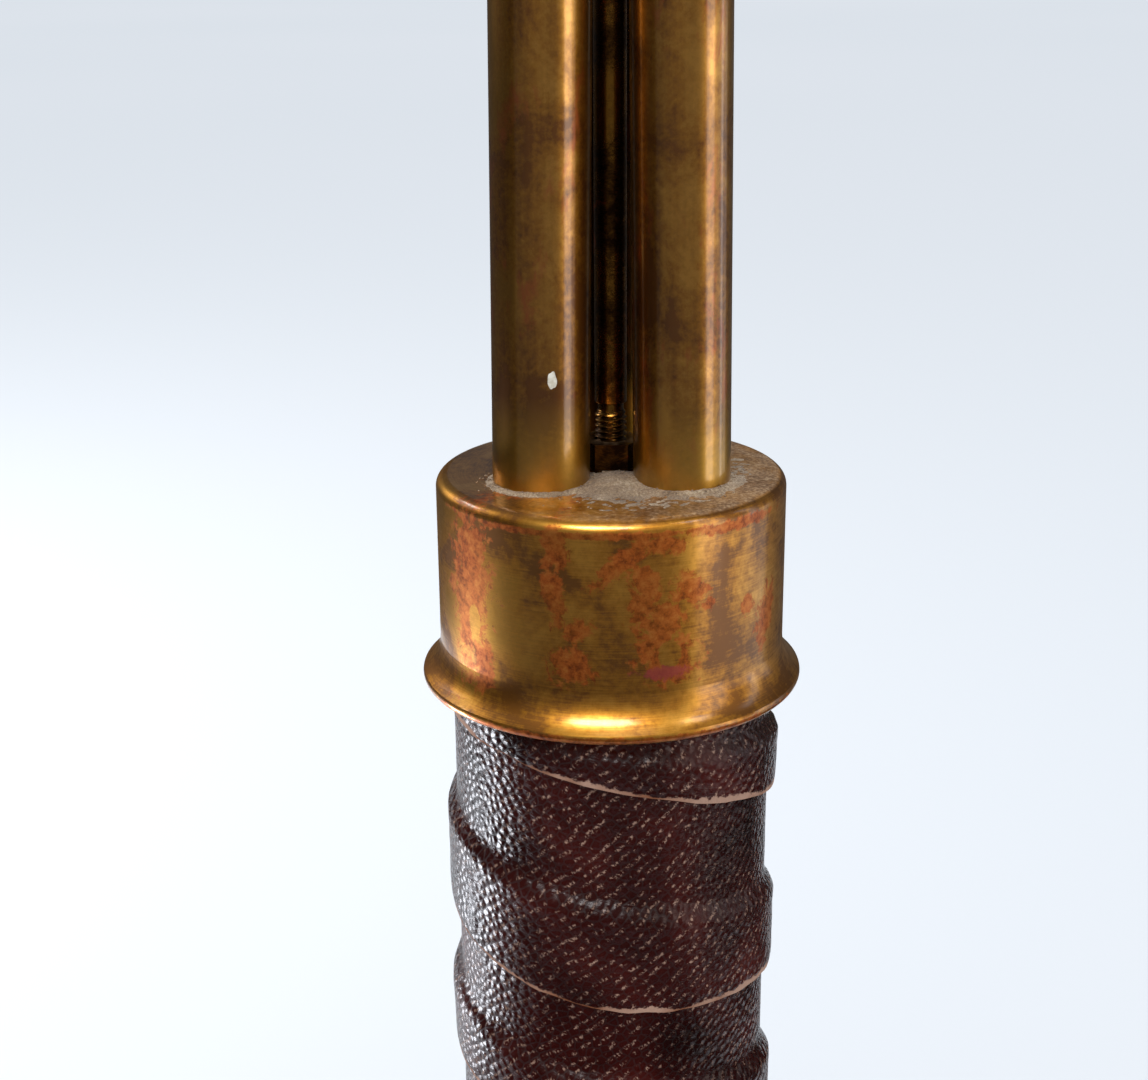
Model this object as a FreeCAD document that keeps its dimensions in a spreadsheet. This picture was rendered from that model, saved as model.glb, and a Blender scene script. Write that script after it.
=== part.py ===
# Three-tube column with a leather-covered grip, for a lamp or a small instrument.
# Lengths are in millimetres and angles in degrees. +Z is up, the origin is the centre of
# the column's bottom face, and -Y is the side with two tubes in front.
#
# From the bottom: a threaded socket in the lower collar, a steel pipe inside a beech core
# with leather round it, the upper collar with a plate inside that seats the three tubes,
# a tie rod up the middle, and a top cap that carries three knuckle joints.

import FreeCAD, Part
import os
import re
import Sketcher

V = FreeCAD.Vector

SIZES = {
    # collars, one at each end of the grip
    "collar_outer_d": 44.0,
    "collar_wall": 1.2,
    "collar_height": 27.0,
    "collar_round": 1.5,
    "lip_flare": 2.4,
    "lip_flare_height": 5.6,
    "lip_edge_height": 1.3,
    "lip_edge_radius": 0.91,
    "lip_flare_radius": 5.4,
    # grip
    "grip_length": 112.0,
    "leather_gap": 0.3,
    "leather_thickness": 1.0,
    "pipe_outer_d": 30.0,
    "pipe_wall": 1.5,
    "pipe_gap": 0.1,
    "glue_gap": 0.05,
    # tubes
    "tube_outer_d": 12.0,
    "tube_wall": 1.0,
    "tube_rod_gap": 0.644,
    "tube_lean": 0.7,
    "tube_exposed": 104.0,
    "tube_gap": 0.12,
    "tube_end_gap": 0.1,
    # plate inside the upper collar
    "plate_thickness": 8.0,
    "plate_gap": 0.3,
    "skirt_height": 6.0,
    "grub_d": 3.0,
    # tie rod with its nuts and washers
    "rod_d": 4.0,
    "rod_gap": 0.2,
    "nut_across_flats": 7.0,
    "nut_height": 3.2,
    "washer_outer_d": 7.6,
    "washer_thickness": 0.8,
    # top cap
    "cap_margin": 2.0,
    "cap_height": 11.0,
    "cap_round": 2.5,
    "cap_socket_depth": 7.0,
    # knuckles
    "knuckle_gap": 1.486,
    "clevis_base": 4.0,
    "clevis_float": 0.15,
    "ear_height": 11.5,
    "ear_margin": 0.6,
    "pivot_height": 10.5,
    "slot_width": 5.0,
    "slot_gap": 0.15,
    "stem_d": 6.0,
    "running_gap": 0.05,
    "clip_thickness": 1.0,
    "clip_gap": 0.3,
    "clip_side_gap": 0.5,
    "pin_d": 4.0,
    "pin_head_d": 6.6,
    "pin_head_depth": 1.2,
    "pin_head_height": 0.8,
    "pin_recess": 0.5,
    "eye_share": 0.8,
    "shoulder_gap": 0.5,
    "shoulder_height": 3.0,
    "spigot_d": 10.0,
    "spigot_length": 11.0,
    # threaded socket at the bottom
    "socket_flange_margin": 1.5,
    "socket_flange": 4.0,
    "socket_boss_wall": 3.5,
    "socket_bore_d": 9.0,
    "socket_depth": 20.0,
    # how far a cutter, or a piece that is fused to another, runs past the face
    "run_past": 1.0,
}
TUBE_ANGLES = {"front_left": 210, "front_right": 330, "rear": 90}

doc = FreeCAD.newDocument("three_tube_column")
sheet = doc.addObject("Spreadsheet::Sheet", "Dimensions")
for row, (alias, value) in enumerate(SIZES.items(), 1):
    sheet.set(f"A{row}", alias)
    sheet.set(f"B{row}", str(value))
    sheet.setAlias(f"B{row}", alias)
doc.recompute()

ALIAS = re.compile(r"\b(" + "|".join(SIZES) + r")\b")
nodes = []

# heights that several pieces share, measured from the bottom face
UPPER_LIP = "(collar_height + grip_length)"
COLLAR_TOP = "(2 * collar_height + grip_length)"
PLATE_TOP = f"({COLLAR_TOP} - collar_wall - plate_gap)"
PLATE_BOTTOM = f"({PLATE_TOP} - plate_thickness)"
CAP_BOTTOM = f"({COLLAR_TOP} + tube_exposed)"
CAP_TOP = f"({CAP_BOTTOM} + cap_height)"
CORE_BOTTOM = "(collar_wall + socket_flange + glue_gap)"

# diameters that follow from the fits between neighbours
COLLAR_BORE = "(collar_outer_d - 2 * collar_wall)"
LEATHER_D = f"({COLLAR_BORE} - 2 * leather_gap)"
LEATHER_BORE = f"({LEATHER_D} - 2 * leather_thickness)"
CORE_BORE = "(pipe_outer_d + 2 * pipe_gap)"
# the tubes lean in until only tube_rod_gap is left beside the rod, at their top ends, and
# the knuckles stand over those ends, side by side on an equilateral triangle
KNUCKLE_PITCH = "(tube_outer_d + rod_d + 2 * tube_rod_gap)"
TUBE_PITCH = f"({KNUCKLE_PITCH} + 2 * (tube_exposed + cap_socket_depth) * tan(tube_lean * 1 deg))"
KNUCKLE_D = f"({KNUCKLE_PITCH} * sin(60 deg) - 2 * knuckle_gap)"
EAR_ROUND = f"({KNUCKLE_D} / 2 - ear_margin)"
EYE_D = f"({KNUCKLE_D} * eye_share)"
PIN_SHANK = f"({KNUCKLE_D} - 2 * pin_head_depth - 2 * pin_recess)"
CLIP_D = "(tube_outer_d - 2 * tube_wall - 2 * clip_side_gap)"
CAP_D = f"({TUBE_PITCH} + tube_outer_d + 2 * cap_margin)"
TUBE_HOLE_D = "(tube_outer_d + 2 * tube_gap)"
BOSS_D = "(socket_bore_d + 2 * socket_boss_wall)"


def bound(expression):
    """The expression with each alias pointing at its cell."""
    return ALIAS.sub(r"Dimensions.\1", str(expression))


def number(expression):
    return float(sheet.evalExpression(bound(expression)))


def bind(thing, **sizes):
    for key, expression in sizes.items():
        thing.setExpression(key, bound(expression))
    return thing


def place(thing, x="0", y="0", z="0"):
    for axis, expression in zip("xyz", (x, y, z)):
        thing.setExpression(f"Placement.Base.{axis}", bound(expression))
    return thing


def cylinder(name, diameter, height, x="0", y="0", z="0"):
    solid = doc.addObject("Part::Cylinder", name)
    bind(solid, Radius=f"({diameter}) / 2", Height=height)
    return place(solid, x, y, z)


def block(name, length, width, height, x, y, z):
    """A box whose low corner is at x, y, z."""
    solid = doc.addObject("Part::Box", name)
    bind(solid, Length=length, Width=width, Height=height)
    return place(solid, x, y, z)


def fuse(name, *shapes):
    joined = doc.addObject("Part::MultiFuse", name)
    joined.Shapes = list(shapes)
    return joined


def cut(name, base, *tools):
    made = doc.addObject("Part::Cut", name)
    made.Base = base
    made.Tool = tools[0] if len(tools) == 1 else fuse(name + "_tools", *tools)
    return made


def wrap(name, solid):
    """Wraps one solid, so that it keeps its own place while the wrapper leans or turns."""
    wrapper = doc.addObject("Part::Compound", name)
    wrapper.Links = [solid]
    return wrapper


def node(label, thing):
    """Keeps a finished piece under the name of its file."""
    thing.Label = label
    nodes.append(thing)
    return thing


def pitch(angle, pitch_d):
    """x and y of a point on a pitch circle, as expressions."""
    return f"{pitch_d} / 2 * cos({angle} deg)", f"{pitch_d} / 2 * sin({angle} deg)"


def lean(thing, angle):
    """Stands a piece on the tube circle at the collar's top and leans it inwards."""
    turn = FreeCAD.Rotation(V(0, 0, 1), angle - 90)
    axis = turn.multVec(V(1, 0, 0))
    thing.Placement = FreeCAD.Placement(V(0, 0, 0), FreeCAD.Rotation(axis, number("tube_lean")))
    thing.setExpression("Placement.Rotation.Angle", bound("tube_lean * 1 deg"))
    x, y = pitch(angle, TUBE_PITCH)
    return place(thing, x, y, COLLAR_TOP)


def ring(name, outer_d, inner_d, height, z):
    outer = cylinder(name + "_outer", outer_d, height, z=z)
    inner = cylinder(name + "_inner", inner_d, f"{height} + 2 * run_past", z=f"{z} - run_past")
    return cut(name, outer, inner)


def arc_between(start, end, radius, side):
    """A circular arc from start to end; side 1 bulges to the left of the way it runs."""
    chord = end - start
    half = chord.Length / 2
    normal = V(-chord.y, chord.x, 0).normalize()
    sagitta = radius - (radius**2 - half**2) ** 0.5
    return Part.Arc(start, (start + end) / 2 + normal * sagitta * side, end)


def revolved_profile(body, corners, arcs):
    """Revolves a closed outline about Z. Corners are (radius, height) expressions, and
    arcs gives the radius and side of the stretches that are round, by corner number."""
    sketch = body.newObject("Sketcher::SketchObject", body.Name + "_outline")
    plane = next(f for f in body.Origin.OriginFeatures if f.Role == "XZ_Plane")
    sketch.AttachmentSupport = [(plane, "")]
    sketch.MapMode = "FlatFace"
    points = [V(number(r), number(z), 0) for r, z in corners]
    for k, start in enumerate(points):
        end = points[(k + 1) % len(points)]
        if k in arcs:
            radius, side = arcs[k]
            sketch.addGeometry(arc_between(start, end, number(radius), side))
        else:
            sketch.addGeometry(Part.LineSegment(start, end))

    def end_point(k, last):
        # a sketch stores each arc anticlockwise, so one that bulges left starts at its end
        return (2 if last else 1) if k not in arcs or arcs[k][1] < 0 else (1 if last else 2)

    for k in range(len(points)):
        following = (k + 1) % len(points)
        sketch.addConstraint(
            Sketcher.Constraint("Coincident", k, end_point(k, True), following, end_point(following, False))
        )
    for k, (r, z) in enumerate(corners):
        for kind, expression in (("DistanceX", r), ("DistanceY", z)):
            at = sketch.addConstraint(
                Sketcher.Constraint(kind, -1, 1, k, end_point(k, False), number(expression))
            )
            sketch.setExpression(f"Constraints[{at}]", bound(expression))
    for k, (radius, _) in arcs.items():
        at = sketch.addConstraint(Sketcher.Constraint("Radius", k, number(radius)))
        sketch.setExpression(f"Constraints[{at}]", bound(radius))
    turned = body.newObject("PartDesign::Revolution", body.Name + "_turned")
    turned.Profile = sketch
    turned.ReferenceAxis = (sketch, ["V_Axis"])
    turned.Angle = 360
    body.Tip = turned
    return turned


def collar_blank(name):
    """A spun brass cup, open end down, with a flared lip round its mouth."""
    body = doc.addObject("PartDesign::Body", name)
    outer_r = "collar_outer_d / 2"
    lip_r = "(collar_outer_d / 2 + lip_flare)"
    inner_r = "collar_outer_d / 2 - collar_wall"
    corners = [
        ("0", "collar_height - collar_wall"),
        (inner_r, "collar_height - collar_wall"),
        (inner_r, "lip_flare_height"),
        (f"{lip_r} - lip_edge_height - collar_wall / 2", "0"),
        (f"{lip_r} - lip_edge_height / 2", "0"),
        (lip_r + " - lip_edge_height / 8", "lip_edge_height"),
        (outer_r, "lip_flare_height"),
        (outer_r, "collar_height - collar_round"),
        (f"{outer_r} - collar_round", "collar_height"),
        ("0", "collar_height"),
    ]
    arcs = {
        2: ("lip_flare_radius + collar_wall", -1),
        4: ("lip_edge_radius", -1),
        5: ("lip_flare_radius", 1),
        7: ("collar_round", -1),
    }
    revolved_profile(body, corners, arcs)
    return body


def make_collars():
    upper = place(collar_blank("upper_collar_blank"), z=UPPER_LIP)
    holes = []
    for side, angle in TUBE_ANGLES.items():
        hole = cylinder(f"collar_hole_{side}", TUBE_HOLE_D, "6 * collar_wall", z="-3 * collar_wall")
        holes.append(lean(wrap(f"collar_cutter_{side}", hole), angle))
    rod_hole_z = f"{COLLAR_TOP} - 3 * collar_wall"
    holes.append(cylinder("collar_rod_hole", "rod_d + 2 * rod_gap", "6 * collar_wall", z=rod_hole_z))
    node("upper_collar", cut("upper_collar", upper, *holes))

    lower = collar_blank("lower_collar_blank")
    lower.Placement = FreeCAD.Placement(V(0, 0, 0), FreeCAD.Rotation(V(1, 0, 0), 180))
    place(lower, z="collar_height")
    hole = cylinder("lower_collar_hole", f"{BOSS_D} + 2 * rod_gap", "4 * collar_wall", z="-collar_wall")
    node("lower_collar", cut("lower_collar", lower, hole))


def make_grip():
    pipe_length = f"{PLATE_BOTTOM} - glue_gap - {CORE_BOTTOM}"
    pipe_bore = "pipe_outer_d - 2 * pipe_wall"
    node("inner_pipe", ring("inner_pipe", "pipe_outer_d", pipe_bore, pipe_length, CORE_BOTTOM))
    core_top = f"({PLATE_BOTTOM} - skirt_height - glue_gap)"
    core_d = f"{LEATHER_BORE} - 2 * glue_gap"
    core_length = f"{core_top} - {CORE_BOTTOM}"
    node("grip_core", ring("grip_core", core_d, CORE_BORE, core_length, CORE_BOTTOM))
    node("leather_wrap", ring("leather_wrap", LEATHER_D, LEATHER_BORE, core_length, CORE_BOTTOM))


def make_plate():
    """The steel plate inside the upper collar, with a skirt that slips over the pipe."""
    outer_d = f"({COLLAR_BORE} - 2 * plate_gap)"
    disc = cylinder("plate_disc", outer_d, "plate_thickness", z=PLATE_BOTTOM)
    skirt_z = f"{PLATE_BOTTOM} - skirt_height"
    skirt = ring("plate_skirt", outer_d, CORE_BORE, "skirt_height + run_past", skirt_z)
    rod_hole_length = "plate_thickness + 2 * run_past"
    rod_hole_z = f"{PLATE_BOTTOM} - run_past"
    holes = [cylinder("plate_rod_hole", "rod_d + 2 * rod_gap", rod_hole_length, z=rod_hole_z)]
    for side, angle in TUBE_ANGLES.items():
        low = "-1.5 * plate_thickness - collar_wall"
        hole = cylinder(f"plate_hole_{side}", TUBE_HOLE_D, "2 * plate_thickness", z=low)
        holes.append(lean(wrap(f"plate_cutter_{side}", hole), angle))
    for label, angles, z, inner_r in grub_rows():
        start = f"{inner_r} - run_past"
        for angle in angles:
            name = f"{label}_hole_{angle}"
            holes.append(radial(name, "grub_d + 2 * running_gap", angle, "collar_outer_d / 2", z, start))
    node("tube_plate", cut("tube_plate", fuse("plate_blank", disc, skirt), *holes))


def grub_rows():
    """Label, angles, height and inner radius of the screws in the plate, which hold the
    tubes, and of those in its skirt, which hold the pipe."""
    tube_z = f"{PLATE_BOTTOM} + plate_thickness / 2"
    tube_r = f"({TUBE_PITCH} / 2 + tube_outer_d / 2)"
    pipe_z = f"{PLATE_BOTTOM} - skirt_height / 2"
    return (
        ("tube_grub_screws", list(TUBE_ANGLES.values()), tube_z, tube_r),
        ("pipe_grub_screws", [a + 60 for a in TUBE_ANGLES.values()], pipe_z, "pipe_outer_d / 2"),
    )


def radial(name, diameter, angle, end, z, start):
    """A cylinder that points out from the axis at an angle, between two radii."""
    solid = doc.addObject("Part::Cylinder", name)
    bind(solid, Radius=f"({diameter}) / 2", Height=f"{end} - ({start})")
    turn = FreeCAD.Rotation(V(0, 0, 1), angle) * FreeCAD.Rotation(V(0, 1, 0), 90)
    solid.Placement = FreeCAD.Placement(V(0, 0, 0), turn)
    return place(solid, f"({start}) * cos({angle} deg)", f"({start}) * sin({angle} deg)", z)


def make_grub_screws():
    end = f"{COLLAR_BORE} / 2 - 2 * plate_gap"
    for label, angles, z, inner_r in grub_rows():
        start = f"{inner_r} + 2 * glue_gap"
        screws = [radial(f"{label}_{a}", "grub_d", a, end, z, start) for a in angles]
        group = doc.addObject("Part::Compound", label)
        group.Links = screws
        node(label, group)


def make_tubes():
    below = f"({COLLAR_TOP} - {PLATE_BOTTOM} - 2 * glue_gap)"
    length = f"{below} + tube_exposed + cap_socket_depth - tube_end_gap"
    for side, angle in TUBE_ANGLES.items():
        tube = ring(f"tube_{side}_wall", "tube_outer_d", "tube_outer_d - 2 * tube_wall", length, f"-{below}")
        node(f"tube_{side}", lean(wrap(f"tube_{side}_placed", tube), angle))


def hexagon(name, z):
    """A plain hexagon nut on the rod, turned so that a flat faces each tube."""
    prism = doc.addObject("Part::Prism", name + "_hexagon")
    prism.Polygon = 6
    bind(prism, Circumradius="nut_across_flats / 2 / cos(30 deg)", Height="nut_height")
    place(prism, z=z)
    bore_length = "nut_height + 2 * run_past"
    return cut(name, prism, cylinder(name + "_bore", "rod_d + running_gap", bore_length, z=f"{z} - run_past"))


def make_tie_rod():
    washer_bore = "rod_d + rod_gap"
    above = f"{COLLAR_TOP} + glue_gap"
    node("collar_washer", ring("collar_washer", "washer_outer_d", washer_bore, "washer_thickness", above))
    node("collar_nut", hexagon("collar_nut", f"{above} + washer_thickness + glue_gap"))
    below = f"({PLATE_BOTTOM} - glue_gap - washer_thickness)"
    node("plate_washer", ring("plate_washer", "washer_outer_d", washer_bore, "washer_thickness", below))
    node("plate_nut", hexagon("plate_nut", f"{below} - glue_gap - nut_height"))
    start = f"({below} - 2 * nut_height)"
    end = f"({CAP_BOTTOM} + cap_socket_depth - tube_end_gap)"
    node("tie_rod", cylinder("tie_rod", "rod_d", f"{end} - {start}", z=start))


def cap_blank():
    """A turned brass disc with a rounded upper edge and a smaller round below."""
    body = doc.addObject("PartDesign::Body", "cap_blank")
    outer_r = f"{CAP_D} / 2"
    low_round = "(cap_round / 3)"
    corners = [
        ("0", "0"),
        (f"{outer_r} - {low_round}", "0"),
        (outer_r, low_round),
        (outer_r, "cap_height - cap_round"),
        (f"{outer_r} - cap_round", "cap_height"),
        ("0", "cap_height"),
    ]
    revolved_profile(body, corners, {1: (low_round, -1), 3: ("cap_round", -1)})
    return place(body, z=CAP_BOTTOM)


def make_top_cap():
    rounded = cap_blank()
    depth = "cap_socket_depth + run_past"
    below = f"{CAP_BOTTOM} - run_past"
    stem_hole = "stem_d + 2 * running_gap"
    through = "cap_height + 2 * run_past"
    cuts = [cylinder("cap_rod_hole", "rod_d + running_gap", depth, z=below)]
    for side, angle in TUBE_ANGLES.items():
        socket = cylinder(f"cap_socket_{side}", TUBE_HOLE_D, depth, z="tube_exposed - run_past")
        cuts.append(lean(wrap(f"cap_socket_cutter_{side}", socket), angle))
        x, y = pitch(angle, KNUCKLE_PITCH)
        cuts.append(cylinder(f"cap_stem_hole_{side}", stem_hole, through, x, y, below))
    node("top_cap", cut("top_cap", rounded, *cuts))


def outward(label, solid, angle):
    """Turns a knuckle piece, modelled with its tilt towards +X, to face out at an angle."""
    placed = wrap(label + "_placed", solid)
    placed.Placement = FreeCAD.Placement(V(0, 0, 0), FreeCAD.Rotation(V(0, 0, 1), angle))
    x, y = pitch(angle, KNUCKLE_PITCH)
    return node(label, place(placed, x, y, CAP_TOP))


def pin_bore(name, diameter, length):
    """A cylinder along Y through the pivot, centred on the knuckle."""
    solid = doc.addObject("Part::Cylinder", name)
    bind(solid, Radius=f"({diameter}) / 2", Height=length)
    solid.Placement = FreeCAD.Placement(V(0, 0, 0), FreeCAD.Rotation(V(1, 0, 0), 90))
    return place(solid, y=f"({length}) / 2", z="pivot_height")


def make_clevis(side, angle):
    """A fork whose stem turns in the cap. The slot is open outwards and blocked inwards."""
    name = f"clevis_{side}"
    wide = f"(2 * {KNUCKLE_D})"
    head = cylinder(name + "_head", KNUCKLE_D, "clevis_base + ear_height", z="clevis_float")
    stem_length = "cap_height - cap_socket_depth + clip_gap + clip_thickness + clevis_float"
    stem_z = f"-({stem_length}) + clevis_float"
    stem = cylinder(name + "_stem", "stem_d", f"{stem_length} + run_past", z=stem_z)
    slot_z = "clevis_base + clevis_float"
    side_x = f"-{KNUCKLE_D}"
    slot = block(name + "_slot", wide, "slot_width", "2 * ear_height", side_x, "-slot_width / 2", slot_z)
    top = block(name + "_top", wide, wide, "ear_height", side_x, side_x, "pivot_height")
    corners = cut(name + "_corners", top, pin_bore(name + "_round", f"2 * {EAR_ROUND}", f"2 * {wide}"))
    bore = pin_bore(name + "_bore", "pin_d + running_gap", wide)
    seat = pin_bore(name + "_seat_long", "pin_head_d + 2 * running_gap", wide)
    seats = cut(name + "_seats", seat, pin_bore(name + "_seat_core", KNUCKLE_D, PIN_SHANK))
    fork = cut(name + "_fork", fuse(name + "_blank", head, stem), slot, bore, seats, corners)
    outward(name, fork, angle)


def make_tongue(side, angle):
    """The eye that tilts in the fork, with a shoulder and a threaded spigot above it."""
    name = f"tongue_{side}"
    width = "slot_width - 2 * slot_gap"
    eye = pin_bore(name + "_eye", EYE_D, width)
    neck_length = "clevis_base + clevis_float + ear_height + 2 * shoulder_gap - pivot_height"
    neck_x = f"-{EYE_D} / 2"
    neck = block(name + "_neck", EYE_D, width, neck_length, neck_x, f"-({width}) / 2", "pivot_height")
    shoulder_z = f"(pivot_height + {neck_length} - shoulder_gap)"
    shoulder = cylinder(name + "_shoulder", KNUCKLE_D, "shoulder_height", z=shoulder_z)
    spigot = cylinder(name + "_spigot", "spigot_d", "spigot_length", z=f"{shoulder_z} + shoulder_height")
    bore = pin_bore(name + "_bore", "pin_d + 2 * running_gap", f"2 * {KNUCKLE_D}")
    outward(name, cut(name + "_bored", fuse(name + "_blank", eye, neck, shoulder, spigot), bore), angle)


def make_pin(side, angle):
    """A pin through both ears, with a flat head let into each."""
    name = f"pivot_pin_{side}"
    shank = pin_bore(name + "_shank", "pin_d", f"{PIN_SHANK} + run_past")
    heads_long = pin_bore(name + "_heads_long", "pin_head_d", f"{PIN_SHANK} + 2 * pin_head_height")
    heads_core = pin_bore(name + "_heads_core", KNUCKLE_D, f"{PIN_SHANK} + 2 * running_gap")
    heads = cut(name + "_heads", heads_long, heads_core)
    outward(name, fuse(name + "_turned", shank, heads), angle)


def make_clip(side, angle):
    name = f"stem_clip_{side}"
    z = "-(cap_height - cap_socket_depth) - clip_gap - clip_thickness"
    clip = ring(name + "_ring", CLIP_D, "stem_d + running_gap", "clip_thickness", z)
    outward(name, clip, angle)


def make_knuckles():
    for side, angle in TUBE_ANGLES.items():
        make_clevis(side, angle)
        make_tongue(side, angle)
        make_pin(side, angle)
        make_clip(side, angle)


def make_base_socket():
    """The brass plug that closes the pipe's lower end and screws onto a base's nipple."""
    boss = cylinder("socket_boss", BOSS_D, "2 * collar_wall", z="0")
    flange_d = "pipe_outer_d + 2 * socket_flange_margin"
    flange = cylinder("socket_flange_disc", flange_d, "socket_flange", z="collar_wall")
    plug_d = "pipe_outer_d - 2 * pipe_wall - 2 * glue_gap"
    plug = cylinder("socket_plug", plug_d, "socket_depth - collar_wall", z="collar_wall")
    bore = cylinder("socket_bore", "socket_bore_d", "socket_depth + 2 * run_past", z="-run_past")
    node("base_socket", cut("base_socket", fuse("socket_blank", boss, flange, plug), bore))


def main():
    make_collars()
    make_grip()
    make_plate()
    make_grub_screws()
    make_tubes()
    make_tie_rod()
    make_top_cap()
    make_knuckles()
    make_base_socket()
    doc.recompute()
    for thing in doc.Objects:
        if "Invalid" in thing.State or "Error" in thing.State:
            raise SystemExit(f"{thing.Label} failed: {thing.State}")
    os.makedirs("parts", exist_ok=True)
    for thing in nodes:
        if thing.Shape.isNull() or not thing.Shape.isValid():
            raise SystemExit(f"{thing.Label} has no valid shape")
        print(f"{thing.Label}: {len(thing.Shape.Solids)} solid, {thing.Shape.Volume:.0f} mm3")
        thing.Shape.exportStep(f"parts/{thing.Label}.step")


main()
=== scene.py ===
# Three-tube lamp column: a leather-bound grip between two spun brass collars, three brass
# tubes round a tie rod, a turned cap and three knuckles. Metres, +Z up, the front is -Y.
import bpy
import math
import random
import numpy as np
from mathutils import Matrix, Vector, noise


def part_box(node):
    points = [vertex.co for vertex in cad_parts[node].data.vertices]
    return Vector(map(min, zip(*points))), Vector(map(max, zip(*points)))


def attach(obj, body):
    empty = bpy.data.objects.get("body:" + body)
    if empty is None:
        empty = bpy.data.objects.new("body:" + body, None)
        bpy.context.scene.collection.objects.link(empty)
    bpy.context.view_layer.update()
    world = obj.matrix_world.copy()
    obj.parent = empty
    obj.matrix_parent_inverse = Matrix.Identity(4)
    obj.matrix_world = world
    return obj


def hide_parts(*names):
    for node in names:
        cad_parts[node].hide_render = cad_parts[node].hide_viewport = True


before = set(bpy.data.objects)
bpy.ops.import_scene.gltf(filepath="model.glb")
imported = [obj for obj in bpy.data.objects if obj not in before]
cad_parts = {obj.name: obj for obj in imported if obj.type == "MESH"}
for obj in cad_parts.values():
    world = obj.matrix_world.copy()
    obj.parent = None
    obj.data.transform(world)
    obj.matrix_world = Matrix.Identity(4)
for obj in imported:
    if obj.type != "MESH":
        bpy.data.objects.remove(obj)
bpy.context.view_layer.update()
mm = 0.001
lipFlare = 2.4 * mm  # from a collar's wall out to the edge of its lip
lipToBore = 3.6 * mm
tubeRadius = 0.006
tubeCircle = 0.010  # radius of the circle that the tubes stand on

collarLow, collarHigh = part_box("upper_collar")
lowerLow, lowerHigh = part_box("lower_collar")
wrapLow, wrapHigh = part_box("leather_wrap")
nutLow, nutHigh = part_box("collar_nut")
rodLow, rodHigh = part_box("tie_rod")
sides = ("front_left", "front_right", "rear")


def deselectAll():
    if bpy.context.object and bpy.context.object.mode != "OBJECT":
        bpy.ops.object.mode_set(mode="OBJECT")
    bpy.ops.object.select_all(action="DESELECT")


def activate(piece):
    deselectAll()
    piece.select_set(True)
    bpy.context.view_layer.objects.active = piece


def selectNothing(kind):
    # clears the selection and says whether vertices, edges or faces are picked next
    bpy.ops.object.mode_set(mode="EDIT")
    bpy.ops.mesh.select_mode(type=kind)
    bpy.ops.mesh.select_all(action="DESELECT")
    bpy.ops.object.mode_set(mode="OBJECT")


def linear(hexColour):
    # sRGB hex to the linear values that the sockets take
    parts = [int(hexColour[k : k + 2], 16) / 255 for k in (1, 3, 5)]
    return [p / 12.92 if p <= 0.04045 else ((p + 0.055) / 1.055) ** 2.4 for p in parts] + [1.0]


def addNode(tree, kind, inputs=None, **settings):
    # an input takes a value, a socket, or a node that stands for its first output
    node = tree.nodes.new("ShaderNode" + kind)
    for key, value in settings.items():
        setattr(node, key, value)
    for key, value in (inputs or {}).items():
        if isinstance(value, bpy.types.Node):
            value = value.outputs[0]
        if isinstance(value, bpy.types.NodeSocket):
            tree.links.new(value, node.inputs[key])
        else:
            node.inputs[key].default_value = value
    return node


def calculate(tree, operation, *values):
    return addNode(tree, "Math", dict(enumerate(values)), operation=operation)


def combine(tree, operation, *values):
    return addNode(tree, "VectorMath", dict(enumerate(values)), operation=operation)


def remap(tree, value, *ends):
    # the ends are the low and high that come in, then the low and high that go out
    return addNode(tree, "MapRange", dict(enumerate((value, *ends))))


def noiseAt(tree, place, cells, detail, roughness=0.5, distortion=0.0):
    # cells is how many grains of the pattern fit in a metre: 900 makes each about 1.1 mm
    return addNode(tree, "TexNoise", {"Vector": place, "Scale": cells, "Detail": detail,
                                      "Roughness": roughness, "Distortion": distortion})


def bumpOf(tree, height, strength, depth, under=None):
    # depth is in metres, and under is another bump that this one adds to
    inputs = {"Height": height, "Strength": strength, "Distance": depth}
    if under is not None:
        inputs["Normal"] = under
    return addNode(tree, "Bump", inputs)


def mixColours(tree, share, first, second):
    return addNode(tree, "Mix", {0: share, 6: first, 7: second}, data_type="RGBA").outputs[2]


def rampTo(tree, value, stops):
    node = addNode(tree, "ValToRGB", {0: value})
    ramp = node.color_ramp.elements
    while len(ramp) < len(stops):
        ramp.new(1)
    for element, (position, colour) in zip(ramp, stops):
        element.position = position
        element.color = linear(colour)
    return node


def newMaterial(name):
    material = bpy.data.materials.new(name)
    material.use_nodes = True
    material.node_tree.nodes.clear()
    return material, material.node_tree


def finishShader(tree, inputs):
    shader = addNode(tree, "BsdfPrincipled", inputs)
    addNode(tree, "OutputMaterial", {"Surface": shader})


def dress(name, material):
    # a CAD node keeps its shape and takes a better finish
    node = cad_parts[name]
    for slot in node.material_slots:
        slot.material = material


def settle(piece, name, body, material):
    # puts the piece's place into its mesh, names it and hands it to its body
    activate(piece)
    bpy.ops.object.transform_apply(location=True, rotation=True, scale=True)
    piece.name = name
    piece.data.name = name
    if material:
        piece.data.materials.clear()
        piece.data.materials.append(material)
    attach(piece, body)


collarLook = {
    "light": "#d89c3c",
    "olive": "#b07622",
    "dark": "#7c4e1a",
    "copper": "#b85f28",
    "rose": "#a8484a",
    "coat": 0.8,
    "roughness": 0.37,
    "brushPitch": 0.00022,  # spun with abrasive paper of about grit 180, drawn a little coarser
    "brushDepth": 0.000008,
    "patinaSize": 0.011,
}

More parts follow.
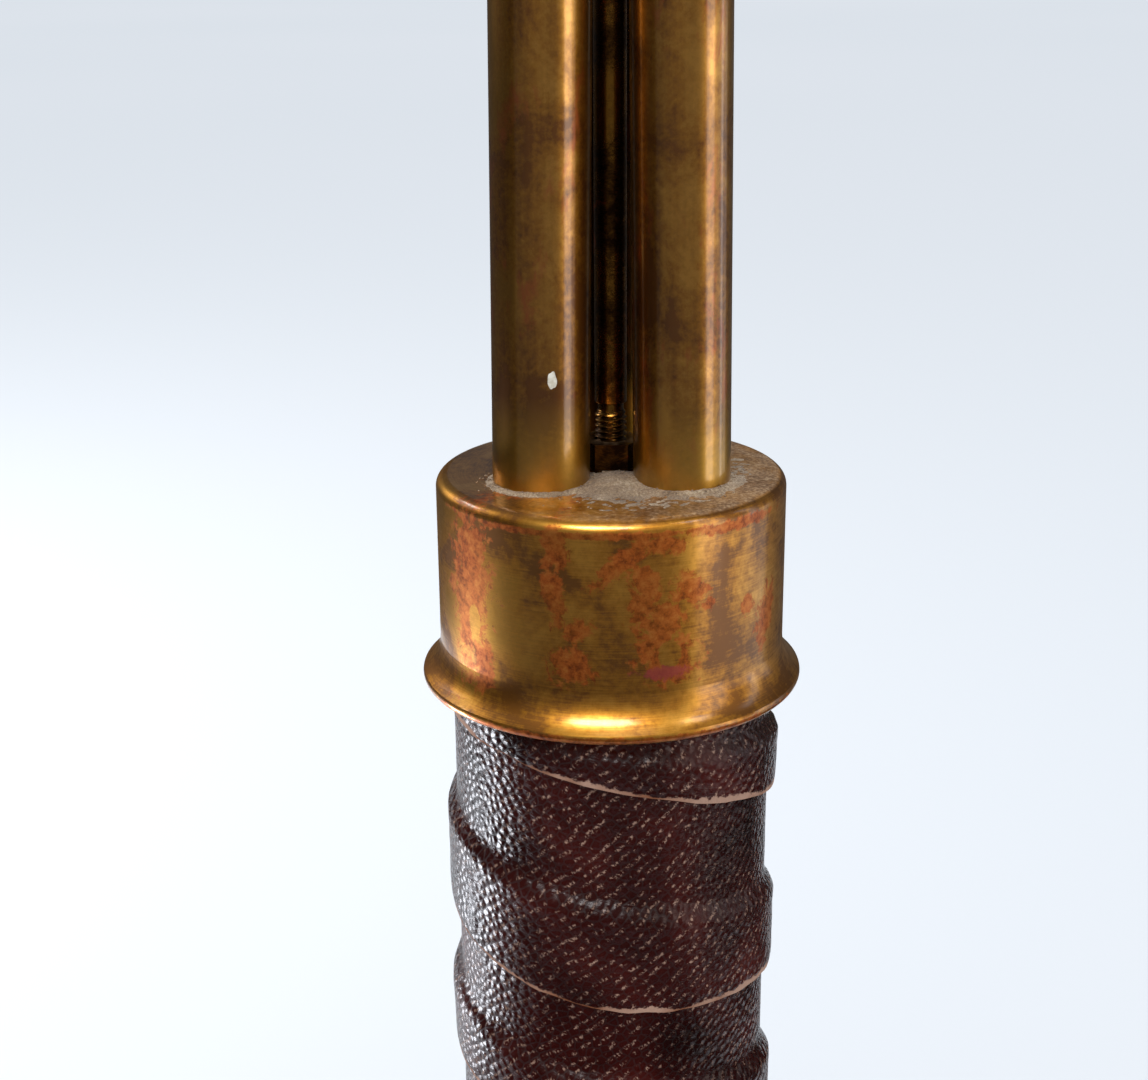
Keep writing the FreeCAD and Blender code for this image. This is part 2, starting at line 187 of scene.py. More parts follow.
# copper-red stains on the front of the collar: degrees round from the front, then in mm the height
# under the collar's top, half width and half height, then how far each leans in radians
copperStains = [
    (-52, 11.0, 3.6, 11.5, 0.0),
    (-46, 20.0, 2.0, 4.0, 0.0),
    (-19, 3.5, 1.6, 3.6, 0.1),
    (-19, 9.5, 1.3, 4.2, -0.1),
    (-12, 13.5, 1.9, 1.2, -0.5),
    (-14, 17.8, 2.6, 2.6, 0.0),
    (2, 5.0, 4.4, 1.3, -0.7),
    (9, 7.5, 1.7, 2.6, -0.4),
    (25, 9.0, 3.2, 1.7, 0.7),
    (8, 10.5, 1.8, 2.6, -0.5),
    (14, 13.0, 3.0, 4.0, 0.0),
    (17, 17.0, 3.8, 3.2, 0.0),
    (16, 3.0, 3.0, 1.1, 0.0),
    (58, 15.0, 1.9, 4.4, 0.3),
    (47, 12.8, 1.2, 1.4, 0.0),
    (-8, 1.7, 20.0, 0.42, 0.0),
    (40, 2.0, 7.0, 0.7, 0.0),
    (0, 26.4, 24.0, 0.45, 0.0),
]
clearedSpots = [(17, 16.8, 1.7, 2.0, 0.0), (-50, 15.0, 1.2, 3.0, 0.0)]
roseStain = (14.5, 18.9, 3.2, 0.9, 0.0)


def stainField(tree, position, warp, stains, radius):
    # the highest of several soft ovals on the unrolled wall, 1 in the middle and 0 at the rim
    field = None
    for turn, drop, halfWidth, halfHeight, leaning in stains:
        centre = (math.radians(turn) * radius, collarHigh.z - drop * mm, 0)
        away = combine(tree, "SUBTRACT", position, centre)
        turned = addNode(tree, "VectorRotate", {"Vector": away, "Angle": leaning},
                         rotation_type="Z_AXIS")
        size = (1 / (halfWidth * mm), 1 / (halfHeight * mm), 1)
        scaled = combine(tree, "MULTIPLY", turned, size)
        length = combine(tree, "LENGTH", scaled)
        near = calculate(tree, "SUBTRACT", 1.0, length.outputs["Value"])
        if field is None:
            field = near
        else:
            field = calculate(tree, "MAXIMUM", field, near)
    return calculate(tree, "ADD", field, warp)


def spunBrass(name, look, hasStains, dusty):
    # spun sheet brass, unlacquered: fine rings from the lathe, uneven brown tarnish, and where
    # handling has taken the zinc out, hard-edged copper-red stains
    material, tree = newMaterial(name)
    place = addNode(tree, "TexCoord").outputs["Object"]
    x, y, z = addNode(tree, "SeparateXYZ", {0: place}).outputs
    flat = addNode(tree, "CombineXYZ", {"X": x, "Y": y})
    radius = combine(tree, "LENGTH", flat).outputs["Value"]
    around = combine(tree, "NORMALIZE", flat)
    along = calculate(tree, "SUBTRACT", z, radius)
    rings = calculate(tree, "MULTIPLY", along, 1 / look["brushPitch"])
    spin = addNode(tree, "VectorMath", {0: around, 3: 5.0}, operation="SCALE")
    lift = addNode(tree, "CombineXYZ", {"Z": rings})
    brushPlace = combine(tree, "ADD", spin, lift)
    brush = noiseAt(tree, brushPlace, 1.0, 2.0)
    cloud = noiseAt(tree, place, 1 / look["patinaSize"], 5.0, 0.6, 0.6)
    mottle = noiseAt(tree, place, 900.0, 4.0, 0.7)
    tone = calculate(tree, "MULTIPLY_ADD", mottle, 0.35, cloud)
    brushed = calculate(tree, "MULTIPLY_ADD", brush, 0.22, tone)
    shade = remap(tree, brushed, 0.64, 0.96, 0.0, 1.0)
    colour = rampTo(tree, shade, [(0.12, look["dark"]), (0.45, look["olive"]),
                                  (0.95, look["light"])])
    rough = remap(tree, shade, 0.0, 1.0, look["roughness"] + 0.12, look["roughness"] - 0.05)
    metal = 1.0
    coat = look["coat"]
    if hasStains:
        turn = calculate(tree, "MULTIPLY", y, -1.0)
        angle = calculate(tree, "ARCTAN2", x, turn)
        wallRadius = collarHigh.x - lipFlare
        arc = calculate(tree, "MULTIPLY", angle, wallRadius)
        wall = addNode(tree, "CombineXYZ", {"X": arc, "Y": z})
        edgeNoise = noiseAt(tree, place, 560.0, 8.0, 0.76, 0.5)
        warp = remap(tree, edgeNoise, 0.3, 0.7, -0.72, 0.95)
        stained = stainField(tree, wall, warp, copperStains, wallRadius)
        bare = stainField(tree, wall, 0.0, clearedSpots, wallRadius)
        cleared = remap(tree, bare, 0.0, 0.5, 0.0, 1.6)
        field = calculate(tree, "SUBTRACT", stained, cleared)
        mask = remap(tree, field, 0.04, 0.24, 0.0, 0.84)
        copperTone = rampTo(tree, mottle, [(0.35, "#783714"), (0.5, look["copper"]),
                                           (0.68, "#cc7e3c")])
        colour = mixColours(tree, mask, colour, copperTone)
        roseField = stainField(tree, wall, warp, [roseStain], wallRadius)
        roseMask = remap(tree, roseField, 0.1, 0.5, 0.0, 0.75)
        colour = mixColours(tree, roseMask, colour, linear(look["rose"]))
        rough = calculate(tree, "MULTIPLY_ADD", mask, 0.14, rough)
        coat = remap(tree, mask, 0.0, 1.0, look["coat"], 0.30)
    else:
        blush = noiseAt(tree, place, 160.0, 6.0, 0.68, 0.8)
        mask = remap(tree, blush, 0.60, 0.66, 0.0, 0.8)
        colour = mixColours(tree, mask, colour, linear(look["copper"]))
    if dusty:
        facing = addNode(tree, "TexCoord").outputs["Normal"]
        upward = addNode(tree, "SeparateXYZ", {0: facing}).outputs[2]
        lying = remap(tree, upward, 0.80, 0.97, 0.0, 1.0)
        drift = noiseAt(tree, place, 260.0, 6.0, 0.75)
        lean = calculate(tree, "MULTIPLY_ADD", x, 14.0, drift)
        front = calculate(tree, "MULTIPLY_ADD", y, -6.0, lean)
        cover = remap(tree, front, 0.44, 0.80, 0.03, 0.80)
        film = calculate(tree, "MULTIPLY", lying, cover)
        grains = noiseAt(tree, place, 2600.0, 3.0)
        dustTone = rampTo(tree, grains, [(0.35, "#6e5034"), (0.55, "#a2825e"), (0.72, "#c6ac88")])
        colour = mixColours(tree, film, colour, dustTone)
        metal = calculate(tree, "SUBTRACT", 1.0, film)
        rough = addNode(tree, "Mix", {0: film, 2: rough, 3: 0.95})
        coat = calculate(tree, "MULTIPLY", metal, coat)
    groove = bumpOf(tree, brush, 0.35, look["brushDepth"])
    dent = bumpOf(tree, cloud, 0.5, 0.00012, groove)
    # old lacquer still lies over most of the metal, so the highlights are paler than the brass
    finishShader(tree, {"Base Color": colour, "Metallic": metal, "Roughness": rough,
                        "Normal": dent, "Coat Weight": coat, "Coat Roughness": 0.18})
    return material


tubeLook = {
    "light": "#bc8838",
    "olive": "#92621e",
    "dark": "#653c12",
    "copper": "#a4542a",
    "roughness": 0.33,
    "streakWidth": 0.0016,
    "streakLength": 0.030,
    "coat": 1.0,
}


def drawnBrass(name, look):
    # drawn brass tube gone brown: long soft streaks down the tube, bright where hands have
    # polished it, with copper-red freckles; fine draw lines blur the highlights sideways
    material, tree = newMaterial(name)
    place = addNode(tree, "TexCoord").outputs["Object"]
    across, along = 1 / look["streakWidth"], 1 / look["streakLength"]
    long = addNode(tree, "Mapping", {"Vector": place, "Scale": (across, across, along)})
    streak = noiseAt(tree, long, 0.6, 4.0, 0.55)
    cloud = noiseAt(tree, place, 70.0, 6.0, 0.65, 0.5)
    mottle = noiseAt(tree, place, 1100.0, 3.0, 0.7)
    tone = calculate(tree, "MULTIPLY_ADD", streak, 0.5, cloud)
    toned = calculate(tree, "MULTIPLY_ADD", mottle, 0.3, tone)
    shade = remap(tree, toned, 0.74, 1.08, 0.0, 1.0)
    base = rampTo(tree, shade, [(0.15, look["dark"]), (0.5, look["olive"]), (0.95, look["light"])])
    blotchPlace = addNode(tree, "Mapping", {"Vector": place, "Scale": (1.0, 1.0, 0.35)})
    blotch = noiseAt(tree, blotchPlace, 190.0, 6.0, 0.7, 0.3)
    mask = remap(tree, blotch, 0.56, 0.66, 0.0, 0.75)
    stain = mixColours(tree, mask, base, linear(look["copper"]))
    # painted highlight: just above the collar the foot of each tube is mixed towards gold
    height = addNode(tree, "SeparateXYZ", {0: place}).outputs[2]
    foot = remap(tree, height, collarHigh.z + 0.002, collarHigh.z + 0.012, 0.55, 0.0)
    footHighlighted = mixColours(tree, foot, stain, linear("#c79c3a"))
    rough = remap(tree, shade, 0.0, 1.0, look["roughness"] + 0.12, look["roughness"] - 0.05)
    fine = addNode(tree, "Mapping", {"Vector": place, "Scale": (5200.0, 5200.0, 90.0)})
    lines = noiseAt(tree, fine, 1.0, 1.0)
    groove = bumpOf(tree, lines, 0.25, 0.000004)
    ripple = bumpOf(tree, cloud, 0.4, 0.00006, groove)
    finishShader(tree, {"Base Color": footHighlighted, "Metallic": 1.0, "Roughness": rough,
                        "Normal": ripple, "Coat Weight": look["coat"], "Coat Roughness": 0.14})
    return material


fittingLook = {
    "light": "#d49c42",
    "olive": "#b07c2a",
    "dark": "#80521e",
    "copper": "#b86238",
    "roughness": 0.28,
    "brushPitch": 0.00018,
    "brushDepth": 0.000006,
    "patinaSize": 0.008,
    "coat": 0.8,
}
agedCollarBrass = spunBrass("spun_brass_tarnished", collarLook, True, True)
lowerCollarBrass = spunBrass("spun_brass_worn", collarLook, False, False)
# painted shade: the rear tube stands in the dark gap behind the front tubes, so its brass is given
# far darker colours and no coat
rearShadedLook = dict(tubeLook, light="#5a4220", olive="#33240f", dark="#1c1209", copper="#5a2412")
rearShadedLook.update(roughness=0.22, coat=0.0)
# painted shade: the tie rod, its nut and washer stand in the dark gap between the tubes, so they
# are given far darker brass colours and no coat
rodShadedLook = dict(fittingLook, light="#8a6228", olive="#4c3216", dark="#22140a", copper="#8a4420")
rodShadedLook.update(roughness=0.26, coat=0.0)
agedTubeBrass = drawnBrass("drawn_brass_tube_aged", tubeLook)
rearTubeShadedBrass = drawnBrass("drawn_brass_tube_painted_shade", rearShadedLook)
rodShadedBrass = spunBrass("rolled_thread_brass_painted_shade", rodShadedLook, False, False)
dustyShadedBrass = spunBrass("turned_brass_dust_and_painted_shade", rodShadedLook, False, True)
turnedBrass = spunBrass("turned_brass_aged", fittingLook, False, False)
dress("upper_collar", agedCollarBrass)
dress("lower_collar", lowerCollarBrass)
dress("tube_front_left", agedTubeBrass)
dress("tube_front_right", agedTubeBrass)
dress("tube_rear", rearTubeShadedBrass)
# the washer and nut take the rod's darkened brass as painted shade, with real dust on their tops
dress("collar_washer", dustyShadedBrass)
dress("collar_nut", dustyShadedBrass)
for name in ["top_cap", "base_socket"] + ["clevis_" + side for side in sides]:
    dress(name, turnedBrass)
print("brass finishes ready")


def zincSteel():
    # zinc-plated turned steel: cool grey, softly bright, with faint passivation clouds
    material, tree = newMaterial("zinc_plated_steel")
    place = addNode(tree, "TexCoord").outputs["Object"]
    cloud = noiseAt(tree, place, 220.0, 5.0)
    tint = rampTo(tree, cloud, [(0.35, "#8d9093"), (0.55, "#b3b5b4"), (0.7, "#c4c0b2")])
    fine = noiseAt(tree, place, 3500.0, 2.0)
    rough = remap(tree, fine, 0.3, 0.7, 0.24, 0.42)
    bump = bumpOf(tree, fine, 0.3, 0.000006)
    finishShader(tree, {"Base Color": tint, "Metallic": 1.0, "Roughness": rough, "Normal": bump})
    return material


def turnedBeech():
    # steamed beech, sanded: pinkish tan with short dark flecks along the grain
    material, tree = newMaterial("steamed_beech")
    place = addNode(tree, "TexCoord").outputs["Object"]
    long = addNode(tree, "Mapping", {"Vector": place, "Scale": (700.0, 700.0, 60.0)})
    fleck = noiseAt(tree, long, 1.0, 3.0)
    tint = rampTo(tree, fleck, [(0.3, "#8c5f42"), (0.5, "#c19570"), (0.7, "#d3ab86")])
    bump = bumpOf(tree, fleck, 0.3, 0.00004)
    finishShader(tree, {"Base Color": tint, "Roughness": 0.6, "Normal": bump})
    return material


steel = zincSteel()
beech = turnedBeech()
for name in ["inner_pipe", "tube_plate", "tube_grub_screws", "pipe_grub_screws", "plate_washer",
             "plate_nut"]:
    dress(name, steel)
for side in sides:
    dress("pivot_pin_" + side, steel)
    dress("stem_clip_" + side, steel)
dress("grip_core", beech)

strip = {
    "width": 0.0340,
    "thickness": 0.0010,
    "layerGap": 0.00018,
    "bridge": 0.0019,  # how far the strip takes to come down off the turn under it
    "step": 0.0011,
    "across": 36,  # faces over its width
    "search": (-330, 2290, 4000),  # degrees that reach past both ends, and how many are tried
    "foldBack": 0.0008,
    "foldWidth": 0.0009,
    "foldHeight": 0.0001,
    "pressWidth": 0.0007,
    "pressDepth": 0.00016,
    "boreGap": 0.0001,
    "pitch": 25.5,  # mm a turn, where nothing shows it to be uneven
    # degrees round from the front and height in mm of the visible lower edge, as wound by hand
    "edge": [(-41, 134.6), (-3, 132.2), (57, 126.2), (298, 106.2), (355, 101.3), (414, 99.6),
             (655, 85.1)],
    "waviness": 0.0004,
}


def edgeHeight(turn):
    # height of the strip's lower edge, in metres, at degrees wound from the front
    known = [(strip["edge"][0][0] - 360, strip["edge"][0][1] + strip["pitch"])] + strip["edge"]
    lastTurn, lastHeight = strip["edge"][-1]
    known.append((lastTurn + 3600, lastHeight - 10 * strip["pitch"]))
    angles = [k[0] for k in known]
    heights = [k[1] for k in known]
    spread = np.linspace(-22, 22, 9)
    return np.mean([np.interp(turn + s, angles, heights) for s in spread], axis=0) * mm


def smooth(t):
    t = np.clip(t, 0, 1)
    return t * t * (3 - 2 * t)


def glazedGoatskin():
    # vegetable-tanned goatskin, dyed oxblood and glazed: a pebbled grain in slanting rows, glossy
    # on top of each pebble and duller in the creases, with pale specks along the pore rows that are
    # partly wear and partly painted glints, and a raw tan cut edge
    material, tree = newMaterial("glazed_goatskin")
    uv = addNode(tree, "UVMap", uv_map="UVMap")
    drift = noiseAt(tree, uv, 170.0, 2.0)
    pull = combine(tree, "SUBTRACT", drift.outputs["Color"], (0.5, 0.5, 0.5))
    pulled = addNode(tree, "VectorMath", {0: pull, 3: 0.0004}, operation="SCALE")
    warped = combine(tree, "ADD", uv, pulled)
    rows = addNode(tree, "Mapping", {"Vector": warped, "Rotation": (0, 0, math.radians(-47))})
    # rows of dashes 1.2 mm apart, about 1 mm long, along the hair pores; their pale specks are
    # partly wear and partly painted glints
    across = addNode(tree, "SeparateXYZ", {0: rows}).outputs[1]
    rowShift = calculate(tree, "MULTIPLY", drift, 2.4)
    rowPlace = calculate(tree, "MULTIPLY_ADD", across, 1 / 0.0012, rowShift)
    fromRow = calculate(tree, "PINGPONG", rowPlace, 0.5)
    onRow = remap(tree, fromRow, 0.07, 0.24, 1.0, 0.0)
    dashPlace = addNode(tree, "Mapping", {"Vector": rows, "Scale": (900.0, 560.0, 1.0)})
    dashNoise = noiseAt(tree, dashPlace, 1.0, 1.0)
    dash = remap(tree, dashNoise, 0.47, 0.53, 0.0, 1.0)
    poreRow = calculate(tree, "MULTIPLY", onRow, dash)
    # pebbles 1.35 mm along a row and 0.95 mm across, as on goat
    pebbled = addNode(tree, "Mapping", {"Vector": rows, "Scale": (740.0, 1050.0, 1.0)})
    crease = addNode(tree, "TexVoronoi", {"Vector": pebbled, "Scale": 1.0, "Randomness": 0.7},
                     feature="DISTANCE_TO_EDGE", voronoi_dimensions="2D")
    pebble = addNode(tree, "TexVoronoi", {"Vector": pebbled, "Scale": 1.0, "Randomness": 0.7,
                                          "Smoothness": 0.35}, feature="SMOOTH_F1",
                     voronoi_dimensions="2D")
    fine = noiseAt(tree, warped, 2600.0, 4.0, 0.7)
    wrinklePlace = addNode(tree, "Mapping", {"Vector": warped, "Scale": (90.0, 420.0, 1.0),
                                             "Rotation": (0, 0, math.radians(8))})
    wrinkle = noiseAt(tree, wrinklePlace, 1.0, 5.0, 0.65, 0.8)
    patch = noiseAt(tree, uv, 75.0, 3.0)
    dyed = rampTo(tree, patch, [(0.32, "#1d0706"), (0.52, "#330a07"), (0.70, "#481009")])
    inCrease = remap(tree, crease.outputs["Distance"], 0.02, 0.12, 1.0, 0.0)
    specks = remap(tree, fine, 0.50, 0.56, 0.0, 1.0)
    speckShare = remap(tree, patch, 0.36, 0.58, 0.20, 0.68)
    speckled = calculate(tree, "MULTIPLY", poreRow, specks)
    wearAndGlintSpecks = calculate(tree, "MULTIPLY", speckled, speckShare)
    # partly painted highlight: the pale specks stand for glints on the grain as well as for wear in
    # the pores
    skin = mixColours(tree, wearAndGlintSpecks, dyed, linear("#c09a84"))
    fromEdge = addNode(tree, "SeparateXYZ", {0: uv}).outputs[1]
    fray = noiseAt(tree, uv, 900.0, 5.0, 0.7)
    wide = remap(tree, patch, 0.40, 0.60, -0.0009, -0.0024)
    frayed = calculate(tree, "MULTIPLY_ADD", fray, wide, fromEdge)
    rawEdge = remap(tree, frayed, -0.00045, -0.00025, 1.0, 0.0)
    rawTone = rampTo(tree, patch, [(0.42, "#7c4626"), (0.55, "#ab8672")])
    edged = mixColours(tree, rawEdge, skin, rawTone)
    gloss = remap(tree, patch, 0.3, 0.7, 0.17, 0.30)
    pitted = calculate(tree, "MULTIPLY_ADD", inCrease, 0.35, gloss)
    dull = addNode(tree, "Mix", {0: rawEdge, 2: pitted, 3: 0.9})
    domed = remap(tree, pebble.outputs["Distance"], 0.0, 0.75, 1.0, 0.0)
    raised = bumpOf(tree, domed, 0.8, 0.00020)
    pored = bumpOf(tree, fine, 0.35, 0.00005, raised)
    folded = bumpOf(tree, wrinkle, 0.55, 0.00035, pored)
    finishShader(tree, {"Base Color": edged, "Roughness": dull,
                        "Specular IOR Level": 0.22, "Normal": folded})
    return material


def rawLeather():
    # the cut edge of the strip: undyed fibre, matt and a little furry
    material, tree = newMaterial("raw_leather_edge")
    uv = addNode(tree, "UVMap", uv_map="UVMap")
    fibre = noiseAt(tree, uv, 3000.0, 4.0)
    tint = rampTo(tree, fibre, [(0.35, "#6c4430"), (0.55, "#a68270"), (0.7, "#c2a290")])
    bump = bumpOf(tree, fibre, 0.6, 0.00008)
    finishShader(tree, {"Base Color": tint, "Roughness": 0.9, "Sheen Weight": 0.3, "Normal": bump})
    return material


def windStrip():
    coreRadius = wrapHigh.x - strip["thickness"]
    baseRadius = coreRadius + strip["thickness"] / 2
    turns = np.linspace(*strip["search"])
    heights = edgeHeight(turns)
    firstTurn = turns[heights < wrapHigh.z + 0.001][0]
    lastTurn = turns[heights > wrapLow.z - strip["width"] - 0.001][-1]
    rise = edgeHeight(firstTurn) - edgeHeight(lastTurn)
    run = math.radians(lastTurn - firstTurn) * baseRadius
    length = math.hypot(run, rise)
    deselectAll()
    bpy.ops.mesh.primitive_grid_add(x_subdivisions=int(length / strip["step"]),
                                    y_subdivisions=strip["across"], size=1)
    piece = bpy.context.object
    mesh = piece.data
    flat = np.zeros(len(mesh.vertices) * 3)
    mesh.vertices.foreach_get("co", flat)
    flat = flat.reshape(-1, 3)
    share = flat[:, 0] + 0.5
    height = (flat[:, 1] + 0.5) * strip["width"]
    turn = firstTurn + share * (lastTurn - firstTurn)
    low = edgeHeight(turn)
    overlap = strip["width"] - (low - edgeHeight(turn + 360))
    onTop = 1 - smooth((height - overlap) / strip["bridge"])
    sine, cosine = np.sin(np.radians(turn)), np.cos(np.radians(turn))
    z = low + height
    ripple = np.zeros(len(z))
    wave = np.zeros(len(z))
    for k in range(len(z)):
        spot = Vector((sine[k] * 20, cosine[k] * 20, z[k] * 1000))
        ripple[k] = noise.noise(spot / 6) * 0.06 + noise.noise(spot / 2.3) * 0.05
        wave[k] = noise.noise(Vector((turn[k] / 23, 3.1, 0)))
        wave[k] += 0.5 * noise.noise(Vector((turn[k] / 7, 9.7, 0)))
    edgeShare = np.clip(1 - height / 0.005, 0, 1)
    z = z + wave * strip["waviness"] * edgeShare
    # a soft fold where the strip steps down off the turn below
    fold = np.exp(-(((height - overlap + strip["foldBack"]) / strip["foldWidth"]) ** 2))
    pressed = np.exp(-((height / strip["pressWidth"]) ** 2))
    lift = strip["thickness"] + strip["layerGap"]
    radius = baseRadius + onTop * lift + ripple * mm * (0.6 + onTop)
    radius = radius + fold * strip["foldHeight"] * onTop - pressed * strip["pressDepth"]
    # inside the collars the binding is squeezed to the bore
    bore = collarHigh.x - lipToBore - strip["thickness"] / 2 - strip["boreGap"]
    inUpper = smooth((z - (collarLow.z + 0.0015)) / 0.003)
    inLower = smooth((lowerHigh.z - 0.0015 - z) / 0.003)
    inside = np.maximum(inUpper, inLower)
    radius = radius * (1 - inside) + np.minimum(radius, bore) * inside
    placed = np.stack([radius * sine, -radius * cosine, z], axis=1)
    mesh.vertices.foreach_set("co", placed.ravel())
    layer = mesh.uv_layers.active
    layer.name = "UVMap"
    flatUv = np.zeros(len(layer.data) * 2)
    layer.data.foreach_get("uv", flatUv)
    flatUv = flatUv.reshape(-1, 2) * np.array([length, strip["width"]])
    layer.data.foreach_set("uv", flatUv.ravel())
    mesh.update()
    # the two ends are trimmed level with the core, as a binder trims them
    activate(piece)
    for level, upward in ((wrapHigh.z, True), (wrapLow.z, False)):
        bpy.ops.object.mode_set(mode="EDIT")
        bpy.ops.mesh.select_all(action="SELECT")
        bpy.ops.mesh.bisect(plane_co=(0, 0, level), plane_no=(0, 0, 1), clear_outer=upward,
                            clear_inner=not upward)
        bpy.ops.object.mode_set(mode="OBJECT")
    mesh.materials.append(glazedGoatskin())
    mesh.materials.append(rawLeather())
    shell = piece.modifiers.new("thickness", "SOLIDIFY")
    shell.thickness = strip["thickness"]
    shell.offset = 0
    shell.material_offset_rim = 1
    bpy.ops.object.modifier_apply(modifier=shell.name)
    for face in piece.data.polygons:
        face.use_smooth = True
    bpy.ops.object.shade_smooth_by_angle(angle=math.radians(50))
    settle(piece, "leather_binding", "column", None)
    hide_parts("leather_wrap")
    return piece


binding = windStrip()
print("leather binding wound,", len(binding.data.polygons), "faces")

rodThread = {"pitch": 0.0007, "depth": 0.00036, "above": 0.0038, "cuts": 96, "around": 36}
spigotThread = {"pitch": 0.001, "depth": 0.00055, "cuts": 88, "around": 48, "radius": 0.005,
                "length": 0.011}


def addCylinder(radius, low, high, around, **more):
    deselectAll()
    bpy.ops.mesh.primitive_cylinder_add(vertices=around, radius=radius, depth=high - low,
                                        location=(0, 0, (low + high) / 2), **more)
    piece = bpy.context.object
    activate(piece)
    bpy.ops.object.transform_apply(location=True, rotation=True, scale=True)
    return piece


def roundEdges(piece, width, segments, angle):
    bevel = piece.modifiers.new("edge", "BEVEL")
    bevel.width = width
    bevel.segments = segments
    bevel.limit_method = "ANGLE"
    bevel.angle_limit = math.radians(angle)
    bpy.ops.object.modifier_apply(modifier=bevel.name)


def threadedBar(radius, low, high, look, chamfer):
    # a bar with a rolled thread; its side is cut into rings, which then follow the helix
    bar = addCylinder(radius, low, high, look["around"])
    selectNothing("EDGE")
    for edge in bar.data.edges:
        a, b = (bar.data.vertices[k].co for k in edge.vertices)
        edge.select = abs(a.z - b.z) > 0.5 * (high - low)
    bpy.ops.object.mode_set(mode="EDIT")
    bpy.ops.mesh.subdivide(number_cuts=look["cuts"])
    bpy.ops.object.mode_set(mode="OBJECT")
    for vertex in bar.data.vertices:
        around = math.atan2(vertex.co.y, vertex.co.x) / (2 * math.pi)
        flank = (vertex.co.z / look["pitch"] - around) % 1
        groove = 1 - abs(2 * flank - 1)
        groove = min(1, max(0, 1.35 * groove - 0.15))
        ending = max(0, 1 - (high - vertex.co.z) / chamfer) if chamfer else 0
        scale = 1 - look["depth"] * max(groove, ending) / radius
        vertex.co.x *= scale
        vertex.co.y *= scale
    bpy.ops.object.shade_smooth_by_angle(angle=math.radians(28))
    return bar


def plainBar(radius, low, high, around):
    bar = addCylinder(radius, low, high, around)
    roundEdges(bar, radius * 0.08, 3, 30)
    bpy.ops.object.shade_smooth_by_angle(angle=math.radians(30))
    return bar


def joinPieces(pieces):
    deselectAll()
    for piece in pieces:
        piece.select_set(True)
    bpy.context.view_layer.objects.active = pieces[0]
    bpy.ops.object.join()
    return bpy.context.object


def makeTieRod():
    radius = rodHigh.x
    core = radius - rodThread["depth"] - 0.00003
    top = nutHigh.z + rodThread["above"]
    bottom = nutLow.z - 0.0015
    bar = joinPieces([
        threadedBar(radius, bottom, top, rodThread, 0.0006),
        plainBar(core, bottom + 0.001, top + 0.002, 32),
        plainBar(radius, top + 0.0009, rodHigh.z, 48),
        plainBar(radius, rodLow.z, bottom - 0.0002, 48),
        plainBar(core, bottom - 0.001, bottom + 0.001, 32),
    ])
    # the rod's brass is darkened as painted shade, for the gap it stands in
    settle(bar, "threaded_tie_rod", "column", rodShadedBrass)
    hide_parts("tie_rod")


def makeTongue(side):
    # the eye and shoulder come from the frame, and the spigot above is cut with its thread
    name = "tongue_" + side
    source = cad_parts[name]
    low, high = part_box(name)
    deselectAll()
    piece = source.copy()
    piece.data = source.data.copy()
    for key in list(piece.keys()):
        del piece[key]
    piece.parent = None
    piece.matrix_world = Matrix.Identity(4)
    bpy.context.scene.collection.objects.link(piece)
    activate(piece)
    shoulderTop = high.z - spigotThread["length"]
    bpy.ops.object.mode_set(mode="EDIT")
    bpy.ops.mesh.select_all(action="SELECT")
    bpy.ops.mesh.remove_doubles(threshold=1e-6)
    bpy.ops.mesh.customdata_custom_splitnormals_clear()
    bpy.ops.mesh.bisect(plane_co=(0, 0, shoulderTop + 0.00002), plane_no=(0, 0, 1),
                        clear_outer=True, use_fill=True)
    bpy.ops.object.mode_set(mode="OBJECT")
    roundEdges(piece, 0.00018, 2, 35)
    bpy.ops.object.shade_smooth_by_angle(angle=math.radians(32))
    centre = ((low.x + high.x) / 2, (low.y + high.y) / 2)
    spigot = threadedBar(spigotThread["radius"], shoulderTop - 0.0004, high.z, spigotThread, 0.0009)
    spigot.location = (centre[0], centre[1], 0)
    activate(spigot)
    bpy.ops.object.transform_apply(location=True, rotation=False, scale=False)
    joined = joinPieces([piece, spigot])
    settle(joined, "threaded_tongue_" + side, "head_" + side, turnedBrass)
    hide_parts(name)


makeTieRod()
for side in sides:
    makeTongue(side)
print("threads cut")

dustLook = {
    "spread": 0.0196,  # radius of the dusty disc on the collar's top
    "cuts": 118,
    "feetDepth": 0.46,  # mm against a tube
    "heapDepth": 1.25,  # mm in the middle, between the front tubes
    "rim": 0.985,  # share of the grid that is kept, which makes it round
    "thickness": 0.00035,
    "crumbs": 320,
    "crumbSize": (0.00006, 0.00017),
    "seed": 11,
}
tubeTurns = [math.radians(a) for a in (210, 330, 90)]
tubeFeet = [Vector((math.cos(turn), math.sin(turn), 0)) * tubeCircle for turn in tubeTurns]


def settledDust():
    # house dust packed by years: warm grey, matt, with pale and dark grains of about 0.2 mm
    material, tree = newMaterial("settled_dust")
    place = addNode(tree, "TexCoord").outputs["Object"]
    grains = noiseAt(tree, place, 3200.0, 4.0, 0.75)
    cloud = noiseAt(tree, place, 320.0, 4.0)
    mixed = calculate(tree, "MULTIPLY_ADD", cloud, 0.6, grains)
    tint = rampTo(tree, mixed, [(0.55, "#54402c"), (0.74, "#8c7254"), (0.9, "#b09778"),
                                (1.0, "#cdbca0")])
    bump = bumpOf(tree, grains, 0.9, 0.00018)
    finishShader(tree, {"Base Color": tint, "Roughness": 0.97, "Sheen Weight": 0.25,
                        "Normal": bump})
    return material


